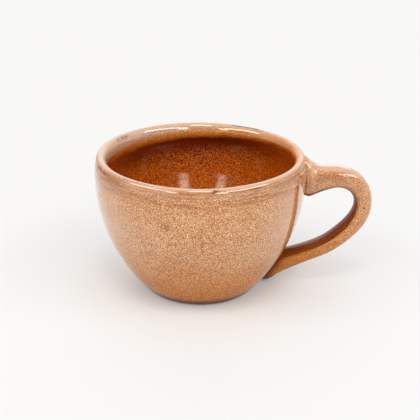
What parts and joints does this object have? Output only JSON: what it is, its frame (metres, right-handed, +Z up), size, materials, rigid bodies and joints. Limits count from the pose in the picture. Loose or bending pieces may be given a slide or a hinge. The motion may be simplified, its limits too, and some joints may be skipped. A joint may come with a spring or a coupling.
{
  "type": "latte cup",
  "caption": "Wheel-thrown stoneware latte cup: a wide round bowl on a flat foot, with a thick rounded lip, a pulled strap handle, a speckled tan glaze and a dark amber liner.",
  "frame": {"origin": "centre of the flat foot, on the table", "axes": "+Z up along the axis the bowl was thrown on, +X from that axis towards the handle, so the cup is symmetric about the XZ plane"},
  "size_m": [0.1431, 0.1078, 0.072],
  "materials": {
    "stoneware": "bare fired clay, matt and slightly gritty",
    "slip": "fired luting slip, matt",
    "amber_glaze": "dark amber liner glaze, glossy",
    "tan_glaze": "tan speckled glaze, glossy"
  },
  "bodies": {
    "root": {"cup_body": "stoneware", "handle": "stoneware", "upper_joint_slip": "slip", "lower_joint_slip": "slip", "liner_glaze": "amber_glaze", "outer_glaze": "tan_glaze", "handle_glaze": "tan_glaze"}
  },
  "joints": []
}
